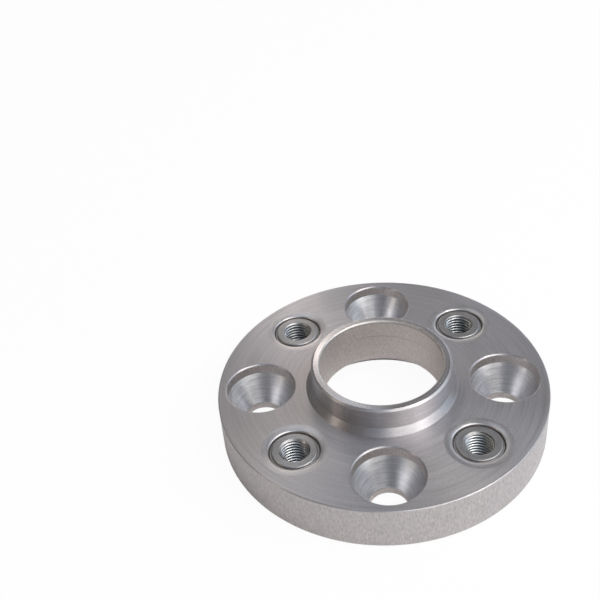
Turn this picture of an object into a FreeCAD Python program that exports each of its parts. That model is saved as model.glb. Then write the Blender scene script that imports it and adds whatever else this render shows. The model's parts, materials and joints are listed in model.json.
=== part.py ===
import FreeCAD, Part
import math
import os
import Sketcher

# Hub-centric wheel spacer, 20 mm thick, lying on its hub side with the centring collar up.
# The origin is the centre of the hub face, and +Z points from the hub towards the wheel.
# Five pieces: the turned aluminium disc with its collar, and four pressed-in steel thread bushes.

SIZES = [
    # Disc and centring collar, one turned piece
    ("disc_diameter", 135.0, "outside diameter of the disc"),
    ("disc_thickness", 20.0, "track widening on each side"),
    ("rim_edge", 0.3, "edge break of the rim at the wheel face"),
    ("centring_diameter", 57.1, "hub spigot, and the collar that repeats it for the wheel"),
    ("collar_height", 12.0, "collar above the wheel face"),
    ("collar_foot", 2.5, "leg of the 45 degree cone at the foot of the collar"),
    ("collar_edge", 0.9, "lead-in chamfer on the collar's outer top edge"),
    ("collar_wall", 3.7, "wall of the collar, from its centring face to the bore"),
    ("bore_edge", 0.6, "edge break at the mouth of the bore"),
    ("spigot_clearance", 0.05, "gap around the hub spigot, on the radius"),
    ("recess_depth", 11.5, "depth of the hub recess from the hub face"),
    ("recess_chamfer", 7.5, "leg of the 45 degree lead-in of the hub recess"),
    # Seats for the bolts that hold the spacer to the hub
    ("bolt_count", 4, "bolts to the hub"),
    ("bolt_circle", 100.0, "bolt circle diameter of the hub"),
    ("bolt_hole_diameter", 15.0, "clearance hole below the conical seat"),
    ("seat_angle", 60.0, "included angle of the conical bolt seat"),
    ("seat_bore_diameter", 28.0, "counterbore that sinks the bolt head"),
    ("seat_bore_depth", 4.5, "straight depth of that counterbore"),
    # Threaded bushes for the wheel bolts, and their pockets
    ("thread_count", 4, "wheel bolts"),
    ("thread_circle", 100.0, "bolt circle diameter of the wheel"),
    ("thread_turn_angle", 45.0, "turn of the wheel bolts from the hub bolts"),
    ("thread_diameter", 12.0, "major diameter of the wheel bolt thread"),
    ("thread_pitch", 1.5, "pitch of that thread"),
    ("shank_diameter", 20.1, "shank of the bush, over the tips of its serrations"),
    ("shank_clearance", 0.03, "room around the serration tips, on the radius"),
    ("nose_diameter", 18.0, "plain nose at the wheel end of the bush"),
    ("nose_length", 1.0, "nose above the shank"),
    ("nose_edge", 0.35, "edge break of the nose"),
    ("nose_below_face", 0.4, "nose sits this far under the wheel face"),
    ("flange_diameter", 23.0, "flange that stops the bush at the hub side"),
    ("flange_thickness", 2.7, "thickness of that flange"),
    ("flange_below_face", 0.3, "flange sits this far under the hub face"),
    ("flange_clearance", 0.1, "gap around the flange, on the radius"),
    ("dish_diameter", 26.6, "shallow turned dish around each bush pocket"),
    ("dish_depth", 0.3, "depth of that dish at the pocket"),
]
THREAD_FLANK_SHARE = 1.0825  # minor diameter of a metric thread is the major less this many pitches
FULL_TURN = 360.0
SAME_PLACE = 1e-4

document = FreeCAD.newDocument("wheel_spacer")
sheet = document.addObject("Spreadsheet::Sheet", "Sizes")
for row, (alias, number, note) in enumerate(SIZES, start=1):
    sheet.set(f"A{row}", alias)
    sheet.set(f"B{row}", str(number))
    sheet.set(f"C{row}", note)
    sheet.setAlias(f"B{row}", alias)
document.recompute()


class Size:
    """A length that knows both its value and the sheet formula that drives it."""

    def __init__(self, value, formula):
        self.value = value
        self.formula = formula

    def combine(self, other, sign, value):
        other_formula = other.formula if isinstance(other, Size) else str(other)
        return Size(value, f"({self.formula} {sign} {other_formula})")

    def __add__(self, other):
        return self.combine(other, "+", self.value + plain(other))

    def __sub__(self, other):
        return self.combine(other, "-", self.value - plain(other))

    def __mul__(self, other):
        return self.combine(other, "*", self.value * plain(other))

    def __truediv__(self, other):
        return self.combine(other, "/", self.value / plain(other))


def plain(number):
    return number.value if isinstance(number, Size) else number


def size(alias):
    return Size(float(sheet.get(alias)), f"Sizes.{alias}")


def radius(alias):
    return size(alias) / 2


def tangent(angle):
    return Size(math.tan(math.radians(angle.value)), f"tan({angle.formula})")


def cosine(angle):
    return Size(math.cos(math.radians(angle.value)), f"cos({angle.formula})")


def sine(angle):
    return Size(math.sin(math.radians(angle.value)), f"sin({angle.formula})")


ZERO = Size(0.0, "0")

# Values that two or more pieces share
disc_top = size("disc_thickness")
spigot_radius = radius("centring_diameter")
thread_minor_radius = radius("thread_diameter") - size("thread_pitch") * THREAD_FLANK_SHARE / 2
flange_seat = size("flange_below_face") + size("flange_thickness")
pocket_radius = radius("shank_diameter") + size("shank_clearance")
flange_pocket_radius = radius("flange_diameter") + size("flange_clearance")


def new_body(label):
    body = document.addObject("PartDesign::Body", label)
    body.Label = label
    return body


def origin_feature(body, role):
    for feature in body.Origin.OriginFeatures:
        if feature.Role == role:
            return feature
    raise ValueError(f"{body.Label} has no {role}")


def bind_constraint(sketch, name, kind, geometry, end, length):
    number = sketch.addConstraint(Sketcher.Constraint(kind, -1, 1, geometry, end, length.value))
    sketch.renameConstraint(number, name)
    sketch.setExpression(f"Constraints.{name}", length.formula)


def outline_sketch(body, name, plane, corners):
    """A closed straight-sided outline whose corners are pairs of driven lengths (across, up)."""
    sketch = body.newObject("Sketcher::SketchObject", name)
    sketch.AttachmentSupport = [(origin_feature(body, plane), "")]
    sketch.MapMode = "FlatFace"
    points = [FreeCAD.Vector(across.value, up.value, 0) for across, up in corners]
    count = len(points)
    for index in range(count):
        sketch.addGeometry(Part.LineSegment(points[index], points[(index + 1) % count]), False)
    for index in range(count):
        sketch.addConstraint(Sketcher.Constraint("Coincident", index, 2, (index + 1) % count, 1))
    for index, (across, up) in enumerate(corners):
        if across is ZERO:
            sketch.addConstraint(Sketcher.Constraint("PointOnObject", index, 1, -2))
        else:
            bind_constraint(sketch, f"across_{index}", "DistanceX", index, 1, across)
        if up is ZERO:
            sketch.addConstraint(Sketcher.Constraint("PointOnObject", index, 1, -1))
        else:
            bind_constraint(sketch, f"up_{index}", "DistanceY", index, 1, up)
    return sketch


def revolve(body, name, sketch):
    solid = body.newObject("PartDesign::Revolution", name)
    solid.Profile = sketch
    solid.ReferenceAxis = (origin_feature(body, "Z_Axis"), [""])
    solid.Angle = FULL_TURN
    document.recompute()
    return solid


def round_edge(shape, edge_radius, height):
    """Name of the round edge about the main axis with this radius at this height."""
    for number, edge in enumerate(shape.Edges, start=1):
        curve = edge.Curve
        if not isinstance(curve, Part.Circle) or math.hypot(curve.Center.x, curve.Center.y) > SAME_PLACE:
            continue
        if abs(curve.Radius - edge_radius.value) + abs(curve.Center.z - height.value) < SAME_PLACE:
            return f"Edge{number}"
    raise ValueError("no such round edge")


def break_edge(body, name, edge_radius, height, width):
    """A chamfer on one turned edge of the body's last feature."""
    base = body.Tip
    chamfer = body.newObject("PartDesign::Chamfer", name)
    chamfer.Base = (base, [round_edge(base.Shape, edge_radius, height)])
    chamfer.setExpression("Size", width.formula)
    document.recompute()


def repeat_around(body, name, feature, count):
    pattern = body.newObject("PartDesign::PolarPattern", name)
    pattern.Originals = [feature]
    pattern.Axis = (origin_feature(body, "Z_Axis"), [""])
    pattern.Angle = FULL_TURN
    pattern.setExpression("Occurrences", count.formula)
    body.Tip = pattern
    document.recompute()


def place_on_circle(holder, prefix, circle_radius, turn, across, side):
    """Put a sketch or a body on a bolt circle: across and side name the two moved coordinates."""
    holder.setExpression(f"{prefix}.Base.{across}", (circle_radius * cosine(turn)).formula)
    sideways = circle_radius * sine(turn)
    holder.setExpression(f"{prefix}.Base.{side}", sideways.formula if side == "y" else f"-{sideways.formula}")


def turned_holes(body, name, corners, circle_radius, turn, count):
    """Cut stepped round holes around a bolt circle: corners give the hole's own radius and height."""
    sketch = outline_sketch(body, f"{name}_outline", "XZ_Plane", corners)
    # In this sketch's frame the height is its own y axis, so a turn about it is a turn about +Z.
    sketch.AttachmentOffset = FreeCAD.Placement(
        FreeCAD.Vector(), FreeCAD.Rotation(FreeCAD.Vector(0, 1, 0), turn.value))
    sketch.setExpression("AttachmentOffset.Rotation.Angle", turn.formula)
    place_on_circle(sketch, "AttachmentOffset", circle_radius, turn, "x", "z")
    before = body.Shape.Volume
    groove = body.newObject("PartDesign::Groove", name)
    groove.Profile = sketch
    groove.ReferenceAxis = (sketch, ["V_Axis"])
    groove.Angle = FULL_TURN
    document.recompute()
    if groove.Shape.Volume >= before:
        raise ValueError(f"{name} removed nothing")
    repeat_around(body, f"{name}_around", groove, count)


def make_spacer_body():
    body = new_body("spacer_body")
    disc_radius = radius("disc_diameter")
    collar_top = disc_top + size("collar_height")
    foot = size("collar_foot")
    bore_radius = spigot_radius - size("collar_wall")
    recess_radius = spigot_radius + size("spigot_clearance")
    recess_top = size("recess_depth")
    lead_in = size("recess_chamfer")
    outline = outline_sketch(body, "turned_outline", "XZ_Plane", [
        (recess_radius + lead_in, ZERO),
        (disc_radius, ZERO),
        (disc_radius, disc_top),
        (spigot_radius + foot, disc_top),
        (spigot_radius, disc_top + foot),
        (spigot_radius, collar_top),
        (bore_radius, collar_top),
        (bore_radius, recess_top),
        (recess_radius, recess_top),
        (recess_radius, lead_in),
    ])
    revolve(body, "turned_disc", outline)
    break_edge(body, "rim_break", disc_radius, disc_top, size("rim_edge"))
    break_edge(body, "bore_break", bore_radius, collar_top, size("bore_edge"))
    break_edge(body, "collar_break", spigot_radius, collar_top, size("collar_edge"))

    hole_radius = radius("bolt_hole_diameter")
    seat_radius = radius("seat_bore_diameter")
    seat_top = disc_top - size("seat_bore_depth")
    seat_bottom = seat_top - (seat_radius - hole_radius) / tangent(size("seat_angle") / 2)
    turned_holes(body, "bolt_seat", [
        (ZERO, ZERO),
        (hole_radius, ZERO),
        (hole_radius, seat_bottom),
        (seat_radius, seat_top),
        (seat_radius, disc_top),
        (ZERO, disc_top),
    ], radius("bolt_circle"), ZERO, size("bolt_count"))

    turned_holes(body, "bush_pocket", [
        (ZERO, ZERO),
        (flange_pocket_radius, ZERO),
        (flange_pocket_radius, flange_seat),
        (pocket_radius, flange_seat),
        (pocket_radius, disc_top - size("dish_depth")),
        (radius("dish_diameter"), disc_top),
        (ZERO, disc_top),
    ], radius("thread_circle"), size("thread_turn_angle"), size("thread_count"))
    return body


def make_thread_insert(number):
    """A flanged steel bush: pressed in from the hub side, threaded for one wheel bolt."""
    body = new_body(f"thread_insert_{number}")
    bottom = size("flange_below_face")
    flange_radius = radius("flange_diameter")
    shank_radius = radius("shank_diameter")
    nose_radius = radius("nose_diameter")
    nose_edge = size("nose_edge")
    top = disc_top - size("nose_below_face")
    shoulder = top - size("nose_length")
    outline = outline_sketch(body, "bush_outline", "XZ_Plane", [
        (thread_minor_radius, bottom),
        (flange_radius, bottom),
        (flange_radius, flange_seat),
        (shank_radius, flange_seat),
        (shank_radius, shoulder),
        (nose_radius, shoulder),
        (nose_radius, top - nose_edge),
        (nose_radius - nose_edge, top),
        (thread_minor_radius, top),
    ])
    revolve(body, "turned_bush", outline)
    share = (number - 1) * FULL_TURN
    turn = size("thread_turn_angle") + Size(share, str(share)) / size("thread_count")
    place_on_circle(body, "Placement", radius("thread_circle"), turn, "x", "y")
    return body


pieces = [make_spacer_body()]
for insert_number in range(1, int(size("thread_count").value) + 1):
    pieces.append(make_thread_insert(insert_number))
document.recompute()

for item in document.Objects:
    if "Invalid" in item.State or "Error" in item.State:
        raise RuntimeError(f"{item.Label} failed: {item.State}")
os.makedirs("parts", exist_ok=True)
for piece in pieces:
    solid = piece.Shape
    if solid.isNull() or not solid.isValid() or len(solid.Solids) != 1:
        raise RuntimeError(f"{piece.Label} is not one sound solid")
    solid.exportStep(os.path.join("parts", f"{piece.Label}.step"))
    print(f"{piece.Label}: {solid.Volume:.1f} cubic mm, box {solid.BoundBox}")
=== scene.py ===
import json
import math

import bmesh
import bpy
from mathutils import Matrix, Vector


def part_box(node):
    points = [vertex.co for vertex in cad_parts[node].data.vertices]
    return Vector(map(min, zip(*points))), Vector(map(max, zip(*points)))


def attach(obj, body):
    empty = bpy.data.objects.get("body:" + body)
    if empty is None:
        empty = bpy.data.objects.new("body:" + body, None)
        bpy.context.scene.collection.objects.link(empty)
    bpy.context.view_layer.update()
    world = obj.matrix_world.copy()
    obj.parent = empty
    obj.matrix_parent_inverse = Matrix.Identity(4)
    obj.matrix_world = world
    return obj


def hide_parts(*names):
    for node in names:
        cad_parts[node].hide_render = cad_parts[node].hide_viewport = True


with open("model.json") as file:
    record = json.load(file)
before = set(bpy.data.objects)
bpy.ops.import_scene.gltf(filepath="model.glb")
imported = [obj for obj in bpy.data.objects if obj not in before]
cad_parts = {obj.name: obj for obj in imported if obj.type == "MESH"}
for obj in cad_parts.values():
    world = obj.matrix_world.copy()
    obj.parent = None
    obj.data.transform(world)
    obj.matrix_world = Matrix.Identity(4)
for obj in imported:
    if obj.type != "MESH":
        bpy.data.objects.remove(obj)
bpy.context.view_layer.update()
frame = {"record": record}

# Spacer body.
# One disc of bare aluminium bar, faced and bored on a lathe with its centring collar left standing.
# The rim keeps a fine blasted grain, and every edge is broken by a light chamfer.
MM = 0.001
mounts = {mount["name"]: mount for mount in frame["record"]["mounts"]}
DISC_RADIUS = 67.5 * MM
DISC_TOP = mounts["wheel_face"]["pos_m"][2]
COLLAR_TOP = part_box("spacer_body")[1].z
COLLAR_RADIUS = mounts["centring_collar"]["dims"]["r_mm"] * MM
BORE_RADIUS = mounts["centre_bore"]["dims"]["r_mm"] * MM
RECESS_RADIUS = mounts["hub_recess"]["dims"]["r_mm"] * MM
RECESS_DEPTH = 11.5 * MM
RECESS_LEAD_IN = 7.5 * MM
COLLAR_FOOT = 2.5 * MM
COLLAR_EDGE = 0.9 * MM
BORE_EDGE = 0.6 * MM
RIM_EDGE = 0.3 * MM
RIM_EDGE_HUB = 1.0 * MM
LAND_FALL = 0.16 * MM
TOOL_LINE = 23.8 * MM
TOOL_LINE_WIDTH = 0.14 * MM
MARGIN = 0.5 * MM
SOFT_EDGE = 0.12 * MM
SOFT_SEGMENTS = 3
SHARP_ANGLE = math.radians(14)
SAME_PLACE = SOFT_EDGE / 10
SAME_POINT = SOFT_EDGE / 100
DISC_STEPS = 288
TURNED, BORED_PAINTED_LIGHTER, BLASTED, SEAT, PAINTED_SHADE, FINE_PAINTED_LIGHTER, WELL, DISHED_PAINTED_LIGHTER, DARKENED_FOOT = range(9)
bore_mouth = COLLAR_TOP - 2 * BORE_EDGE
disc_centre = Vector((0, 0, 0))


def turn(mesh, outline, centre, steps, finish):
    """Turn an open outline of (radius, height) pairs full circle about the upright axis at centre."""
    verts = [mesh.verts.new(centre + Vector((radius, 0, height))) for radius, height in outline]
    edges = [mesh.edges.new(ends) for ends in zip(verts, verts[1:])]
    faces_before = len(mesh.faces)
    bmesh.ops.spin(mesh, geom=verts + edges, cent=centre, axis=(0, 0, 1),
                   angle=math.tau, steps=steps, use_merge=True)
    mesh.faces.ensure_lookup_table()
    for face in mesh.faces[faces_before:]:
        face.material_index = finish
        face[mesh.faces.layers.float_vector["turning_centre"]] = centre


def soften(mesh):
    """Round every sharp turned edge, as a deburring tool leaves it."""
    sharp = [edge for edge in mesh.edges
             if len(edge.link_faces) == 2 and edge.calc_face_angle() > SHARP_ANGLE]
    bmesh.ops.bevel(mesh, geom=sharp, offset=SOFT_EDGE, offset_type="OFFSET", affect="EDGES",
                    segments=SOFT_SEGMENTS, profile=0.5, material=-1)


def close_flat(mesh, height, centre, finish):
    """Fill the flat face that all open round edges at this height bound, turned about centre."""
    def level(part):
        return all(abs(vert.co.z - height) < SAME_PLACE for vert in part.verts)

    rim = [edge for edge in mesh.edges if edge.is_boundary and level(edge)]
    bmesh.ops.triangle_fill(mesh, use_beauty=True, normal=(0, 0, 1), edges=rim)
    for face in filter(level, mesh.faces):
        face.material_index = finish
        face[mesh.faces.layers.float_vector["turning_centre"]] = centre


body = bmesh.new()
body.faces.layers.float_vector.new("turning_centre")
turn(body, [
    (DISC_RADIUS - RIM_EDGE_HUB - MARGIN, 0),
    (DISC_RADIUS - RIM_EDGE_HUB, 0),
    (DISC_RADIUS, RIM_EDGE_HUB),
    (DISC_RADIUS, DISC_TOP - RIM_EDGE),
], disc_centre, DISC_STEPS, BLASTED)
turn(body, [
    (DISC_RADIUS, DISC_TOP - RIM_EDGE),
    (DISC_RADIUS - RIM_EDGE, DISC_TOP),
    (DISC_RADIUS - RIM_EDGE - MARGIN, DISC_TOP),
], disc_centre, DISC_STEPS, TURNED)
turn(body, [
    (COLLAR_RADIUS + COLLAR_FOOT + MARGIN, DISC_TOP),
    (COLLAR_RADIUS + COLLAR_FOOT, DISC_TOP),
], disc_centre, DISC_STEPS, TURNED)
# The foot cone takes a darker copy of the turned face: painted shade that tones down its highlight.
turn(body, [
    (COLLAR_RADIUS + COLLAR_FOOT, DISC_TOP),
    (COLLAR_RADIUS, DISC_TOP + COLLAR_FOOT),
], disc_centre, DISC_STEPS, DARKENED_FOOT)
turn(body, [
    (COLLAR_RADIUS, DISC_TOP + COLLAR_FOOT),
    (COLLAR_RADIUS, COLLAR_TOP - COLLAR_EDGE),
    (COLLAR_RADIUS - COLLAR_EDGE, COLLAR_TOP - LAND_FALL),
], disc_centre, DISC_STEPS, TURNED)
# The collar's land takes a smoother, lighter finish: the finer turning is real, the lightness is painted
# light.
turn(body, [
    (COLLAR_RADIUS - COLLAR_EDGE, COLLAR_TOP - LAND_FALL),
    (BORE_RADIUS + BORE_EDGE, COLLAR_TOP),
], disc_centre, DISC_STEPS, FINE_PAINTED_LIGHTER)
# The bore's edge takes the darker material: painted shade.
turn(body, [
    (BORE_RADIUS + BORE_EDGE, COLLAR_TOP),
    (BORE_RADIUS, COLLAR_TOP - BORE_EDGE),
    (BORE_RADIUS, bore_mouth),
], disc_centre, DISC_STEPS, PAINTED_SHADE)
# The bore and the hub recess take a lighter material: painted light, as if bounced up from the floor.
turn(body, [
    (BORE_RADIUS, bore_mouth),
    (BORE_RADIUS, TOOL_LINE + TOOL_LINE_WIDTH),
    (BORE_RADIUS, TOOL_LINE),
    (BORE_RADIUS, TOOL_LINE - TOOL_LINE_WIDTH),
    (BORE_RADIUS, RECESS_DEPTH),
    (RECESS_RADIUS, RECESS_DEPTH),
    (RECESS_RADIUS, RECESS_LEAD_IN),
], disc_centre, DISC_STEPS, BORED_PAINTED_LIGHTER)
turn(body, [
    (RECESS_RADIUS, RECESS_LEAD_IN),
    (RECESS_RADIUS + RECESS_LEAD_IN, 0),
    (RECESS_RADIUS + RECESS_LEAD_IN + MARGIN, 0),
], disc_centre, DISC_STEPS, TURNED)

# Seats for the hub bolts.
# Four clearance holes with a 60 degree conical seat, sunk in a counterbore so that the bolt heads
# stay under the wheel face. A form cutter leaves fine rings on the cones.
bolt_circle_radius = mounts["hub_bolts"]["dims"]["pcd_mm"] * MM / 2
bolt_count = mounts["hub_bolts"]["dims"]["count"]
HOLE_RADIUS = mounts["hub_bolts"]["dims"]["hole_r_mm"] * MM
HOLE_EDGE = 1.2 * MM
SEAT_RADIUS = 14.0 * MM
SEAT_DEPTH = 4.5 * MM
SEAT_HALF_ANGLE = math.radians(30)
SEAT_EDGE = 0.5 * MM
HOLE_STEPS = 96
seat_top = DISC_TOP - SEAT_DEPTH
seat_bottom = seat_top - (SEAT_RADIUS - HOLE_RADIUS) / math.tan(SEAT_HALF_ANGLE)
for number in range(bolt_count):
    azimuth = math.tau * number / bolt_count
    bolt_centre = Vector((math.cos(azimuth), math.sin(azimuth), 0)) * bolt_circle_radius
    turn(body, [
        (HOLE_RADIUS + HOLE_EDGE + MARGIN, 0),
        (HOLE_RADIUS + HOLE_EDGE, 0),
        (HOLE_RADIUS, HOLE_EDGE),
        (HOLE_RADIUS, seat_bottom),
    ], bolt_centre, HOLE_STEPS, WELL)
    turn(body, [
        (HOLE_RADIUS, seat_bottom),
        (SEAT_RADIUS, seat_top),
    ], bolt_centre, HOLE_STEPS, SEAT)
    turn(body, [
        (SEAT_RADIUS, seat_top),
        (SEAT_RADIUS, DISC_TOP - SEAT_EDGE),
    ], bolt_centre, HOLE_STEPS, WELL)
    turn(body, [
        (SEAT_RADIUS, DISC_TOP - SEAT_EDGE),
        (SEAT_RADIUS + SEAT_EDGE, DISC_TOP),
        (SEAT_RADIUS + SEAT_EDGE + MARGIN, DISC_TOP),
    ], bolt_centre, HOLE_STEPS, TURNED)

# Pockets for the thread bushes.
# Four stepped bores: a wide one from the hub side that takes the bush's flange, and a narrower one
# through to the wheel face, where a shallow dish is spot-faced around each. The dish is given as
# millimetres outward of the pocket's wall and up from the wheel face.
bush_centres = [Vector((*mounts[name]["pos_m"][:2], 0))
                for name in sorted(mounts) if "bolt_thread" in name]
POCKET_RADIUS = 10.08 * MM
POCKET_EDGE = 0.3 * MM
FLANGE_POCKET_RADIUS = 11.6 * MM
FLANGE_SEAT = 3.0 * MM
DISH_OUTLINE = ((0.3, -0.44), (1.15, -0.16), (2.15, -0.045), (3.22, 0.0))
dish = [(POCKET_RADIUS + out * MM, DISC_TOP + rise * MM) for out, rise in DISH_OUTLINE]
dish_floor = dish[0][1]
dish_radius = dish[-1][0]
for bush_centre in bush_centres:
    # The pocket walls take the darker material: painted shade in the gap round the bush.
    turn(body, [
        (FLANGE_POCKET_RADIUS + POCKET_EDGE + MARGIN, 0),
        (FLANGE_POCKET_RADIUS + POCKET_EDGE, 0),
        (FLANGE_POCKET_RADIUS, POCKET_EDGE),
        (FLANGE_POCKET_RADIUS, FLANGE_SEAT),
        (POCKET_RADIUS, FLANGE_SEAT),
        (POCKET_RADIUS, dish_floor - POCKET_EDGE),
    ], bush_centre, HOLE_STEPS, PAINTED_SHADE)
    # The dish takes its own turned finish, partly a real spot face and partly painted lighter than the
    # face.
    turn(body, [
        (POCKET_RADIUS, dish_floor - POCKET_EDGE),
        *dish,
        (dish_radius + MARGIN, DISC_TOP),
    ], bush_centre, HOLE_STEPS, DISHED_PAINTED_LIGHTER)

bmesh.ops.remove_doubles(body, verts=body.verts, dist=SAME_POINT)
soften(body)
close_flat(body, DISC_TOP, disc_centre, TURNED)
close_flat(body, 0, disc_centre, TURNED)

# Two marks that the tools left in the bore: a line cut part of the way round, and a nick in its edge.
TOOL_LINE_DEPTH = 0.1 * MM
TOOL_LINE_FROM = math.radians(32)
TOOL_LINE_TO = math.radians(112)
NICK_AZIMUTH = math.radians(48)
NICK_SPAN = math.radians(3.8)
NICK_DEPTH = 0.5 * MM
for vert in body.verts:
    reach = math.hypot(vert.co.x, vert.co.y)
    azimuth = math.atan2(vert.co.y, vert.co.x)
    if reach < BORE_RADIUS + SAME_PLACE and abs(vert.co.z - TOOL_LINE) < TOOL_LINE_WIDTH / 2:
        share = (azimuth - TOOL_LINE_FROM) / (TOOL_LINE_TO - TOOL_LINE_FROM)
        fade = math.sqrt(math.sin(math.pi * share)) if 0 < share < 1 else 0.0
        vert.co.xy *= (reach + TOOL_LINE_DEPTH * fade) / reach
    if reach < BORE_RADIUS + 2 * BORE_EDGE and vert.co.z > bore_mouth:
        fade = max(0.0, 1 - abs(azimuth - NICK_AZIMUTH) / NICK_SPAN)
        vert.co.xy *= (reach + NICK_DEPTH * fade) / reach

# The tool line's faces take the darker material: painted shade in the groove.
for face in body.faces:
    middle = face.calc_center_median()
    at_line = abs(middle.z - TOOL_LINE) < TOOL_LINE_WIDTH
    in_bore = middle.xy.length < BORE_RADIUS + TOOL_LINE_DEPTH
    if at_line and in_bore and TOOL_LINE_FROM < math.atan2(middle.y, middle.x) < TOOL_LINE_TO:
        face.material_index = PAINTED_SHADE

bmesh.ops.recalc_face_normals(body, faces=body.faces)
for face in body.faces:
    face.smooth = True

# Bare aluminium in the body's nine finishes, in the order of their numbers.
# The lathe leaves rings about each turning centre, which stretch a highlight into a fan; the bore, the
# wells and the blasted rim are duller and show a fine upright grain, and painted shade darkens the bush
# pockets, the bore's edge and its tool line. Height counts for more than reach, for rings on steep
# cones.
PER_MM = 1000.0
HEIGHT_WEIGHT = 1.7
FLECKS_PER_MM = 1.3
FLECK_DETAIL = 2.0
NOISE_LOW = 0.3
NOISE_HIGH = 0.7
QUARTER_TURN = 0.25


def lathe_coordinates(tree):
    """Sockets: unit vector from the turning centre, its sideways twin, and the way along the outline."""
    nodes, links = tree.nodes, tree.links
    place = nodes.new("ShaderNodeTexCoord").outputs["Object"]
    centre = nodes.new("ShaderNodeAttribute")
    centre.attribute_name = "turning_centre"
    offset = nodes.new("ShaderNodeVectorMath")
    offset.operation = "SUBTRACT"
    links.new(place, offset.inputs[0])
    links.new(centre.outputs["Vector"], offset.inputs[1])
    level = nodes.new("ShaderNodeVectorMath")
    level.operation = "MULTIPLY"
    level.inputs[1].default_value = (1, 1, 0)
    links.new(offset.outputs[0], level.inputs[0])
    outward = nodes.new("ShaderNodeVectorMath")
    outward.operation = "NORMALIZE"
    links.new(level.outputs[0], outward.inputs[0])
    sideways = nodes.new("ShaderNodeVectorMath")
    sideways.operation = "CROSS_PRODUCT"
    sideways.inputs[0].default_value = (0, 0, 1)
    links.new(outward.outputs[0], sideways.inputs[1])
    reach = nodes.new("ShaderNodeVectorMath")
    reach.operation = "LENGTH"
    links.new(level.outputs[0], reach.inputs[0])
    height = nodes.new("ShaderNodeSeparateXYZ")
    links.new(place, height.inputs[0])
    along = nodes.new("ShaderNodeMath")
    along.operation = "MULTIPLY_ADD"
    along.inputs[1].default_value = HEIGHT_WEIGHT
    links.new(height.outputs["Z"], along.inputs[0])
    links.new(reach.outputs["Value"], along.inputs[2])
    return outward.outputs[0], sideways.outputs[0], along.outputs[0]


def grain(tree, outward, along, turns, per_mm, detail):
    """Noise stretched round the turning axis: turns sets its change around, per_mm across the rings."""
    nodes, links = tree.nodes, tree.links
    around = nodes.new("ShaderNodeVectorMath")
    around.operation = "SCALE"
    around.inputs["Scale"].default_value = turns
    links.new(outward, around.inputs[0])
    across = nodes.new("ShaderNodeMath")
    across.operation = "MULTIPLY"
    across.inputs[1].default_value = per_mm * PER_MM
    links.new(along, across.inputs[0])
    lift = nodes.new("ShaderNodeCombineXYZ")
    links.new(across.outputs[0], lift.inputs["Z"])
    joined = nodes.new("ShaderNodeVectorMath")
    joined.operation = "ADD"
    links.new(around.outputs[0], joined.inputs[0])
    links.new(lift.outputs[0], joined.inputs[1])
    noise = nodes.new("ShaderNodeTexNoise")
    noise.inputs["Scale"].default_value = 1.0
    noise.inputs["Detail"].default_value = detail
    links.new(joined.outputs[0], noise.inputs["Vector"])
    return noise.outputs["Fac"]


def flecks(tree):
    """Noise that is the same in all directions."""
    noise = tree.nodes.new("ShaderNodeTexNoise")
    noise.inputs["Scale"].default_value = FLECKS_PER_MM * PER_MM
    noise.inputs["Detail"].default_value = FLECK_DETAIL
    tree.links.new(tree.nodes.new("ShaderNodeTexCoord").outputs["Object"], noise.inputs["Vector"])
    return noise.outputs["Fac"]


def spread(tree, value, low, high):
    """Map noise to a range of numbers."""
    remap = tree.nodes.new("ShaderNodeMapRange")
    remap.inputs["From Min"].default_value = NOISE_LOW
    remap.inputs["From Max"].default_value = NOISE_HIGH
    remap.inputs["To Min"].default_value = low
    remap.inputs["To Max"].default_value = high
    tree.links.new(value, remap.inputs["Value"])
    return remap.outputs["Result"]


def metal(name, dark, light, rough, anisotropy, tone, fleck, marks, depth):
    """A metal with ring marks, between a dark and a light colour.

    tone and marks are (turns, per_mm, detail) of its colour's and its bump's noise, and fleck is the
    share of even noise in its colour.
    """
    material = bpy.data.materials.new(name)
    material.use_nodes = True
    tree = material.node_tree
    shader = tree.nodes["Principled BSDF"]
    shader.inputs["Metallic"].default_value = 1.0
    outward, sideways, along = lathe_coordinates(tree)
    colour = tree.nodes.new("ShaderNodeMix")
    colour.data_type = "RGBA"
    colour.inputs["A"].default_value = (*dark, 1)
    colour.inputs["B"].default_value = (*light, 1)
    mottle = tree.nodes.new("ShaderNodeMix")
    mottle.inputs["Factor"].default_value = fleck
    tree.links.new(grain(tree, outward, along, *tone), mottle.inputs["A"])
    tree.links.new(flecks(tree), mottle.inputs["B"])
    shade = mottle.outputs["Result"]
    tree.links.new(spread(tree, shade, 0.0, 1.0), colour.inputs["Factor"])
    tree.links.new(colour.outputs["Result"], shader.inputs["Base Color"])
    tree.links.new(spread(tree, shade, *rough), shader.inputs["Roughness"])
    shader.inputs["Anisotropic"].default_value = anisotropy
    shader.inputs["Anisotropic Rotation"].default_value = QUARTER_TURN
    tree.links.new(sideways, shader.inputs["Tangent"])
    bump = tree.nodes.new("ShaderNodeBump")
    bump.inputs["Strength"].default_value = 1.0
    bump.inputs["Distance"].default_value = depth
    tree.links.new(grain(tree, outward, along, *marks), bump.inputs["Height"])
    tree.links.new(bump.outputs["Normal"], shader.inputs["Normal"])
    return material


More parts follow.
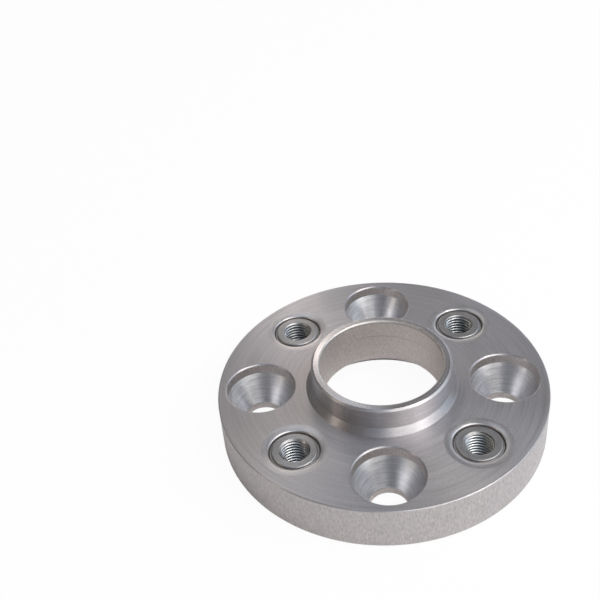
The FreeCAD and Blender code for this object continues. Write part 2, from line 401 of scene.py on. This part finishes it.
aluminium = [
    metal("turned aluminium face", dark=(0.405, 0.387, 0.403), light=(0.565, 0.540, 0.562),
          rough=(0.37, 0.43), anisotropy=0.85, tone=(2.0, 0.9, 3.0), fleck=0.45,
          marks=(4.0, 4.0, 2.0), depth=0.004 * MM),
    # Painted lighter than the turned face, for light bounced up from the floor into the bore.
    metal("bored aluminium, painted lighter", dark=(0.59, 0.547, 0.531), light=(0.91, 0.848, 0.826),
          rough=(0.42, 0.60), anisotropy=0.0, tone=(48.0, 0.45, 4.0), fleck=0.4,
          marks=(75.0, 0.8, 3.0), depth=0.028 * MM),
    metal("blasted aluminium rim", dark=(0.40, 0.373, 0.378), light=(0.66, 0.622, 0.626),
          rough=(0.46, 0.60), anisotropy=0.0, tone=(140.0, 0.3, 3.0), fleck=0.25,
          marks=(170.0, 0.5, 3.0), depth=0.016 * MM),
    metal("reamed aluminium seat", dark=(0.448, 0.452, 0.478), light=(0.72, 0.717, 0.742),
          rough=(0.30, 0.42), anisotropy=0.8, tone=(1.2, 1.0, 3.0), fleck=0.2,
          marks=(1.6, 1.6, 2.0), depth=0.014 * MM),
    # Painted shade for the bush pockets, the bore's edge and the tool line.
    metal("painted shade in the pockets, bore edge and tool line", dark=(0.40, 0.378, 0.37), light=(0.64, 0.605, 0.59),
          rough=(0.46, 0.56), anisotropy=0.0, tone=(34.0, 0.9, 3.0), fleck=0.5,
          marks=(60.0, 1.4, 3.0), depth=0.020 * MM),
    # Smoother than the face, and painted lighter.
    metal("fine turned aluminium land, painted lighter", dark=(0.51, 0.488, 0.505), light=(0.69, 0.66, 0.68),
          rough=(0.23, 0.28), anisotropy=0.8, tone=(2.0, 0.9, 3.0), fleck=0.2,
          marks=(4.0, 4.0, 2.0), depth=0.001 * MM),
    metal("bored counterbore", dark=(0.47, 0.43, 0.42), light=(0.79, 0.735, 0.71),
          rough=(0.40, 0.52), anisotropy=0.0, tone=(34.0, 0.5, 4.0), fleck=0.4,
          marks=(60.0, 0.9, 3.0), depth=0.004 * MM),
    # Turned about each bush, and painted lighter than the face.
    metal("spot faced aluminium, painted lighter", dark=(0.455, 0.44, 0.453), light=(0.635, 0.613, 0.63),
          rough=(0.34, 0.40), anisotropy=0.55, tone=(2.0, 0.9, 3.0), fleck=0.45,
          marks=(4.0, 4.0, 2.0), depth=0.002 * MM),
    # A darker copy of the turned face: painted shade.
    metal("turned foot cone, painted darker", dark=(0.345, 0.329, 0.343), light=(0.48, 0.459, 0.478),
          rough=(0.37, 0.43), anisotropy=0.85, tone=(2.0, 0.9, 3.0), fleck=0.45,
          marks=(4.0, 4.0, 2.0), depth=0.004 * MM),
]


def finish_piece(name, mesh, materials):
    """Make a scene object of a finished mesh, whose place is already in its vertices."""
    data = bpy.data.meshes.new(name)
    mesh.to_mesh(data)
    mesh.free()
    for material in materials:
        data.materials.append(material)
    piece = bpy.data.objects.new(name, data)
    bpy.context.scene.collection.objects.link(piece)
    normals = piece.modifiers.new("flat faces stay flat", "WEIGHTED_NORMAL")
    normals.mode = "FACE_AREA"
    normals.keep_sharp = True
    return piece


spacer = finish_piece("turned_spacer_body", body, aluminium)
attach(spacer, "root")
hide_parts("spacer_body")

# Thread bushes.
# Zinc-plated steel, turned with a flange that stops them in the hub side of the disc. A ring of
# straight serrations on the shank grips the aluminium, and an M12 x 1.5 thread is tapped right through.
FLANGE_RADIUS = 11.5 * MM
FLANGE_BOTTOM = 0.3 * MM
FLANGE_EDGE = 0.3 * MM
SHANK_RADIUS = 10.05 * MM
SHOULDER = 18.6 * MM
SHOULDER_EDGE = 0.4 * MM
NOSE_RADIUS = 9.0 * MM
NOSE_TOP = 19.6 * MM
NOSE_EDGE = 0.35 * MM
TOOTH_DEPTH = 0.35 * MM
TOOTH_COUNT = 72
STEPS_PER_TOOTH = 4
THREAD_MINOR = mounts["wheel_bolt_thread_1"]["dims"]["r_mm"] * MM
THREAD_MAJOR = 6.0 * MM
PITCH = 1.5 * MM
CREST_FLAT = PITCH / 4
ROOT_FLAT = PITCH / 8
THREAD_STEPS = 72
POINTS_PER_PITCH = 16
MOUTH_RADIUS = 6.15 * MM
MOUTH_MARGIN = 0.3 * MM
# Beyond this reach the thread's roots are painted in shade.
SHADED_ROOT_RADIUS = 5.72 * MM
FACET_SAG = SOFT_EDGE / 4
TURN_OF_NEXT_BUSH = math.radians(70)
PLATED, LIGHTER_FLANKS, SHADED_ROOTS, SHADED_SHOULDER = range(4)
bush_axis = Vector((0, 0, 0))


def thread_radius(height):
    """Radius of an internal metric thread's outline at this height within one pitch."""
    flank = (PITCH - CREST_FLAT - ROOT_FLAT) / 2
    from_root = abs(height - PITCH / 2) - ROOT_FLAT / 2
    share = min(max(from_root / flank, 0.0), 1.0)
    return THREAD_MAJOR + share * (THREAD_MINOR - THREAD_MAJOR)


def lead_in(height):
    """Radius of the lead-in cones at both ends of the thread, at this height."""
    return MOUTH_RADIUS - min(NOSE_TOP - height, height - FLANGE_BOTTOM)


bush = bmesh.new()
bush.faces.layers.float_vector.new("turning_centre")
turn(bush, [
    (MOUTH_RADIUS + MOUTH_MARGIN, FLANGE_BOTTOM),
    (FLANGE_RADIUS - FLANGE_EDGE, FLANGE_BOTTOM),
    (FLANGE_RADIUS, FLANGE_BOTTOM + FLANGE_EDGE),
    (FLANGE_RADIUS, FLANGE_SEAT),
    (SHANK_RADIUS, FLANGE_SEAT),
    (SHANK_RADIUS, SHOULDER - SHOULDER_EDGE),
    (SHANK_RADIUS - SHOULDER_EDGE, SHOULDER),
    (NOSE_RADIUS, SHOULDER),
    (NOSE_RADIUS, NOSE_TOP - NOSE_EDGE),
    (NOSE_RADIUS - NOSE_EDGE, NOSE_TOP),
    (MOUTH_RADIUS + MOUTH_MARGIN, NOSE_TOP),
], bush_axis, TOOTH_COUNT * STEPS_PER_TOOTH, PLATED)
soften(bush)
for vert in bush.verts:
    reach = math.hypot(vert.co.x, vert.co.y)
    if reach > SHANK_RADIUS - SHOULDER_EDGE / 2 and FLANGE_SEAT + SOFT_EDGE < vert.co.z:
        tooth = math.atan2(vert.co.y, vert.co.x) / math.tau * TOOTH_COUNT
        valley = 1 - abs((tooth % 1) * 2 - 1)
        vert.co.xy *= (reach - valley * TOOTH_DEPTH) / reach

# The shank and shoulder down in the gap round the nose take a darker material: painted shade.
for face in bush.faces:
    middle = face.calc_center_median()
    outside_nose = middle.xy.length > NOSE_RADIUS + SOFT_EDGE / 2
    if outside_nose and FLANGE_SEAT < middle.z < SHOULDER + SOFT_EDGE:
        face.material_index = SHADED_SHOULDER

# The thread: one outline of a pitch, wound up through the bush, opened by the cones and cut off flat.
helix = bmesh.new()
helix.faces.layers.float_vector.new("turning_centre")
heights = [PITCH * step / POINTS_PER_PITCH for step in range(POINTS_PER_PITCH + 1)]
start = [helix.verts.new((thread_radius(height), 0, height - PITCH)) for height in heights]
start += [helix.edges.new(ends) for ends in zip(start, start[1:])]
turns = math.ceil(NOSE_TOP / PITCH) + 1
bmesh.ops.spin(helix, geom=start, cent=bush_axis, axis=(0, 0, 1), dvec=(0, 0, PITCH / THREAD_STEPS),
               angle=math.tau * turns, steps=THREAD_STEPS * turns)
bmesh.ops.remove_doubles(helix, verts=helix.verts, dist=SAME_POINT)
for vert in helix.verts:
    reach = math.hypot(vert.co.x, vert.co.y)
    vert.co.xy *= max(reach, lead_in(vert.co.z)) / reach
for face in helix.faces:
    middle = face.calc_center_median()
    if middle.xy.length < lead_in(middle.z) + FACET_SAG:
        face.material_index = PLATED
    # Faces deep in the roots take a near-black material: painted shade where little light reaches.
    elif middle.xy.length > SHADED_ROOT_RADIUS:
        face.material_index = SHADED_ROOTS
    # Crests and flanks take a smoother zinc: the smoothness is real, the lightness is a painted
    # highlight.
    else:
        face.material_index = LIGHTER_FLANKS
for height, outward in ((NOSE_TOP, 1), (FLANGE_BOTTOM, -1)):
    everything = helix.verts[:] + helix.edges[:] + helix.faces[:]
    bmesh.ops.bisect_plane(helix, geom=everything, plane_co=(0, 0, height), plane_no=(0, 0, outward),
                           clear_outer=True)
thread_data = bpy.data.meshes.new("thread")
helix.to_mesh(thread_data)
helix.free()
bush.from_mesh(thread_data)
bpy.data.meshes.remove(thread_data)
close_flat(bush, NOSE_TOP, bush_axis, PLATED)
close_flat(bush, FLANGE_BOTTOM, bush_axis, PLATED)
bmesh.ops.recalc_face_normals(bush, faces=bush.faces)
for face in bush.faces:
    face.smooth = True

zinc = [
    metal("zinc plated steel", dark=(0.325, 0.317, 0.323), light=(0.43, 0.419, 0.427),
          rough=(0.36, 0.44), anisotropy=0.3, tone=(2.0, 1.1, 3.0), fleck=0.4,
          marks=(3.0, 3.5, 2.0), depth=0.004 * MM),
    # Smoother than the plating, and painted lighter.
    metal("thread flanks, painted lighter", dark=(0.38, 0.388, 0.405), light=(0.47, 0.48, 0.50),
          rough=(0.25, 0.31), anisotropy=0.0, tone=(2.0, 1.1, 3.0), fleck=0.2,
          marks=(3.0, 3.5, 2.0), depth=0.002 * MM),
    # Painted shade for the thread's roots.
    metal("painted shade in the thread's roots", dark=(0.08, 0.074, 0.07), light=(0.14, 0.13, 0.125),
          rough=(0.42, 0.50), anisotropy=0.0, tone=(2.0, 1.1, 3.0), fleck=0.4,
          marks=(3.0, 3.5, 2.0), depth=0.002 * MM),
    # Painted shade for the bush's shank and shoulder in the gap.
    metal("painted shade on the bush shoulder", dark=(0.28, 0.268, 0.26), light=(0.46, 0.44, 0.43),
          rough=(0.42, 0.50), anisotropy=0.0, tone=(2.0, 1.1, 3.0), fleck=0.4,
          marks=(3.0, 3.5, 2.0), depth=0.002 * MM),
]
for number, bush_centre in enumerate(bush_centres, start=1):
    pressed_in = bush.copy()
    where = Matrix.Translation(bush_centre) @ Matrix.Rotation(TURN_OF_NEXT_BUSH * number, 4, "Z")
    bmesh.ops.transform(pressed_in, matrix=where, verts=pressed_in.verts)
    for face in pressed_in.faces:
        face[pressed_in.faces.layers.float_vector["turning_centre"]] = bush_centre
    piece = finish_piece(f"threaded_bush_{number}", pressed_in, zinc)
    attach(piece, "root")
    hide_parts(f"thread_insert_{number}")
bush.free()

# Floor.
# A sheet of pale paper, seen almost as plain white by the camera and as matt paper by the spacer.
FLOOR_HALF = 3.0
FLOOR_DROP = 0.1 * MM
FLOOR_WHITE_SHARE = 0.95
PAPER = (0.85, 0.85, 0.85, 1)
WHITE_GLOW = (1, 1, 1, 1)
floor_mesh = bmesh.new()
bmesh.ops.create_grid(floor_mesh, x_segments=1, y_segments=1, size=FLOOR_HALF)
bmesh.ops.translate(floor_mesh, vec=(0, 0, -FLOOR_DROP), verts=floor_mesh.verts)
floor_data = bpy.data.meshes.new("floor")
floor_mesh.to_mesh(floor_data)
floor_mesh.free()
floor = bpy.data.objects.new("floor", floor_data)
bpy.context.scene.collection.objects.link(floor)
paper = bpy.data.materials.new("white paper floor")
paper.use_nodes = True
floor_data.materials.append(paper)
tree = paper.node_tree
tree.nodes.clear()
matt = tree.nodes.new("ShaderNodeBsdfDiffuse")
matt.inputs["Color"].default_value = PAPER
glow = tree.nodes.new("ShaderNodeEmission")
glow.inputs["Color"].default_value = WHITE_GLOW
ray = tree.nodes.new("ShaderNodeLightPath")
share = tree.nodes.new("ShaderNodeMath")
share.operation = "MULTIPLY"
share.inputs[1].default_value = FLOOR_WHITE_SHARE
tree.links.new(ray.outputs["Is Camera Ray"], share.inputs[0])
blend = tree.nodes.new("ShaderNodeMixShader")
tree.links.new(share.outputs[0], blend.inputs["Fac"])
tree.links.new(matt.outputs[0], blend.inputs[1])
tree.links.new(glow.outputs[0], blend.inputs[2])
surface = tree.nodes.new("ShaderNodeOutputMaterial")
tree.links.new(blend.outputs[0], surface.inputs["Surface"])

# Studio light.
# Large soft boxes stand at the front right and above; weaker ones fill from the right and the back,
# small warm ones from the left, and four little cards close to the spacer brighten parts of its face.
LAMP_DISTANCE = 1.2
WHITE = (1.0, 1.0, 0.98)
WARM = (1.0, 0.87, 0.76)
COOL = (0.86, 0.93, 1.0)


def towards(azimuth, elevation):
    """Unit vector from the object in this direction."""
    azimuth, elevation = math.radians(azimuth), math.radians(elevation)
    return Vector((math.cos(elevation) * math.cos(azimuth), math.cos(elevation) * math.sin(azimuth),
                   math.sin(elevation)))


def soft_box(name, place, behind, width, height, brightness, colour):
    """A soft lamp that faces away from behind; at a brightness of 1 it looks like lit white paper."""
    lamp = bpy.data.lights.new(name, "AREA")
    lamp.shape = "RECTANGLE"
    lamp.size = width
    lamp.size_y = height
    lamp.energy = math.pi * width * height * brightness
    lamp.color = colour
    holder = bpy.data.objects.new(name, lamp)
    holder.location = place
    holder.rotation_euler = behind.to_track_quat("Z", "Y").to_euler()
    holder.visible_camera = False
    bpy.context.scene.collection.objects.link(holder)


for name, azimuth, elevation, width, height, brightness, colour in (
    ("key, high", 315, 56, 0.9, 0.5, 4.2, WHITE),
    ("key, right", 338, 50, 0.5, 0.5, 3.7, WHITE),
    ("key, low", 300, 9, 1.3, 0.3, 2.5, (1.0, 0.98, 0.90)),
    ("key, low right", 333, 12, 0.6, 0.4, 2.5, WHITE),
    ("right fill", 14, 38, 0.9, 0.5, 2.4, COOL),
    ("right fill, low", 5, 12, 0.6, 0.4, 0.4, (0.35, 0.80, 1.0)),
    ("back right fill", 50, 22, 0.5, 0.4, 1.2, COOL),
    ("back right, low", 66, 14, 0.35, 0.3, 2.0, (0.86, 0.89, 1.0)),
    ("back top", 125, 66, 0.6, 0.5, 1.1, COOL),
    ("back, low", 95, 12, 0.9, 0.3, 1.8, (1.0, 0.94, 0.88)),
    ("left fill", 200, 30, 0.5, 0.6, 0.4, (1.0, 0.70, 0.40)),
    ("left lamp", 197, 31, 0.14, 0.14, 9.5, (1.0, 0.94, 0.84)),
    ("left, high", 150, 47, 0.35, 0.35, 0.5, (1.0, 0.90, 0.45)),
    ("front left, low", 238, 9, 0.5, 0.3, 0.75, (1.0, 0.92, 0.85)),
    ("front, high", 262, 60, 0.5, 0.5, 1.2, (0.72, 0.83, 1.0)),
):
    direction = towards(azimuth, elevation)
    soft_box(name, direction * LAMP_DISTANCE, direction, width, height, brightness, colour)
for name, place, behind, side, brightness, colour in (
    ("back card", (-0.05, 0.30, 0.29), (-0.05, 0.30, 0.27), 0.10, 1.1, WHITE),
    ("warm card", (-0.026, 0.085, 0.098), (-0.10, 0.93, -0.35), 0.034, 1.9, WARM),
    ("low card", (-0.038, 0.085, 0.032), (-0.05, 0.90, -0.30), 0.02, 0.9, WARM),
    ("low warm card", (-0.055, 0.085, 0.040), (-0.15, 0.90, -0.35), 0.03, 0.6, WARM),
):
    soft_box(name, Vector(place), Vector(behind), side, side, brightness, colour)

# Room.
# Its backdrop is as white as the floor to the camera, and the light that it throws on the spacer is dim.
ROOM_LIGHT = 0.18
BACKDROP_WHITE = 1.0
world = bpy.data.worlds.new("studio room")
bpy.context.scene.world = world
world.use_nodes = True
room_tree = world.node_tree
background = room_tree.nodes["Background"]
background.inputs["Color"].default_value = WHITE_GLOW
room_ray = room_tree.nodes.new("ShaderNodeLightPath")
strength = room_tree.nodes.new("ShaderNodeMapRange")
strength.inputs["To Min"].default_value = ROOM_LIGHT
strength.inputs["To Max"].default_value = BACKDROP_WHITE
room_tree.links.new(room_ray.outputs["Is Camera Ray"], strength.inputs["Value"])
room_tree.links.new(strength.outputs["Result"], background.inputs["Strength"])

# Camera.
# It stands in front of the spacer and looks down at it at the photograph's angle, with a slight roll.
CAMERA_PLACE = Vector((-0.0090064, -0.3001063, 0.3027879))
CAMERA_RIGHT = Vector((0.99732811, 0.01446131, -0.07160663))
CAMERA_UP = Vector((0.04708439, 0.62219932, 0.78144166))
CAMERA_LENS = 59.874
SENSOR_WIDTH = 36.0
NEAREST_SEEN = 0.01
lens = bpy.data.cameras.new("camera")
lens.lens = CAMERA_LENS
lens.sensor_width = SENSOR_WIDTH
lens.clip_start = NEAREST_SEEN
camera = bpy.data.objects.new("camera", lens)
bpy.context.scene.collection.objects.link(camera)
view = Matrix((CAMERA_RIGHT, CAMERA_UP, CAMERA_RIGHT.cross(CAMERA_UP))).transposed().to_4x4()
camera.matrix_world = Matrix.Translation(CAMERA_PLACE) @ view
bpy.context.scene.camera = camera
bpy.context.scene.view_settings.view_transform = "Standard"
